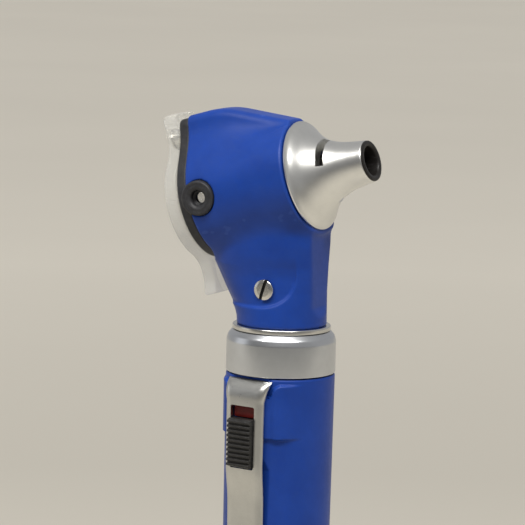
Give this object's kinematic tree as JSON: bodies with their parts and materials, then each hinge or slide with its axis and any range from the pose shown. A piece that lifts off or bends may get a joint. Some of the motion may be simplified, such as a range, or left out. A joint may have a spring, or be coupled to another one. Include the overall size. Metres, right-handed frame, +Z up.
{
  "type": "otoscope",
  "caption": "Pocket ear examination light with a tilted viewing head, flared metal cone, hinged magnifier, battery handle and pocket clip with slide switch.",
  "frame": {"origin": "centre of the tail cap's flat bottom face, on the handle axis", "axes": "+Z up along the handle axis towards the head, +X level on the side that the cone points to, the clip and the port on the -Y side"},
  "size_m": [0.0422, 0.0239, 0.1735],
  "materials": {
    "blue_plastic": "satin moulded ABS",
    "satin_aluminium": "satin, fine turned lines",
    "clip_metal": "satin chrome-plated strip",
    "polished_metal": "bright nickel",
    "nickel_brass": "nickel-plated, polished",
    "brass": "plain brass",
    "spring_steel": "drawn wire",
    "black_plastic": "fine satin black",
    "white_plastic": "plain",
    "red_plastic": "gloss red",
    "rubber": "soft seal",
    "cell_jacket": "printed film over a steel can",
    "lamp_glass": "clear glass",
    "clear_acrylic": "clear polished acrylic"
  },
  "bodies": {
    "handle": {"handle_tube": "blue_plastic", "collar_ring": "satin_aluminium", "clip_head": "clip_metal", "switch_indicator": "red_plastic", "contact_holder": "black_plastic", "centre_contact": "brass", "switch_leaf": "brass", "upper_contact_plate": "brass", "cell_lower": "cell_jacket", "cell_upper": "cell_jacket", "return_strip": "brass"},
    "switch": {"switch_slider": "black_plastic", "switch_bridge": "brass"},
    "clip": {"clip_blade": "clip_metal"},
    "lamp_pin": {"lamp_contact": "brass"},
    "head": {"head_shell": "blue_plastic", "window_frame": "black_plastic", "speculum_cone": "satin_aluminium", "cone_seat_ring": "nickel_brass", "cone_inner_sleeve": "black_plastic", "cone_gasket": "rubber", "lens_pivot_pin": "polished_metal", "lens_washer": "black_plastic", "head_screws": "polished_metal", "neck_insert": "nickel_brass", "neck_ring": "nickel_brass", "lamp_insulator": "white_plastic", "lamp_cap": "brass", "lamp_bulb": "lamp_glass"},
    "lens": {"magnifier_lens": "clear_acrylic"},
    "tail_seat": {"tail_contact_cup": "brass", "tail_spring": "spring_steel"},
    "tail": {"tail_cap": "satin_aluminium", "tail_cap_seal": "rubber"}
  },
  "joints": [
    {"name": "lens_swing", "type": "hinge", "parent": "head", "child": "lens", "pos_m": [-0.02103, 0, 0.16718], "axis": [0.9588, 0, 0.284], "range_deg": [-85, 85]},
    {"name": "switch_slide", "type": "slide", "parent": "handle", "child": "switch", "axis": [0, 0, 1], "range_m": [0, 0.0022]},
    {"name": "clip_flex", "type": "hinge", "parent": "handle", "child": "clip", "pos_m": [-0.00164, -0.01037, 0.10695], "axis": [-0.9877, 0.1564, 0], "range_deg": [0, 5], "stiffness_Nm_per_rad": 0.6},
    {"name": "head_turn", "type": "hinge", "parent": "lamp_pin", "child": "head", "pos_m": [0, 0, 0.13], "axis": [0, 0, 1], "range_deg": [0, 1800]},
    {"name": "head_lift", "type": "slide", "parent": "handle", "child": "lamp_pin", "axis": [0, 0, 1], "range_m": [0, 0.0063]},
    {"name": "tail_cap_turn", "type": "hinge", "parent": "tail_seat", "child": "tail", "pos_m": [0, 0, 0.006], "axis": [0, 0, -1], "range_deg": [0, 1800]},
    {"name": "tail_cap_travel", "type": "slide", "parent": "handle", "child": "tail_seat", "axis": [0, 0, -1], "range_m": [0, 0.00502]}
  ],
  "couplings": [
    {"joint": "head_lift", "follows": "head_turn", "m_per_rad": 0.00019894},
    {"joint": "tail_cap_travel", "follows": "tail_cap_turn", "m_per_rad": 0.00015915}
  ]
}
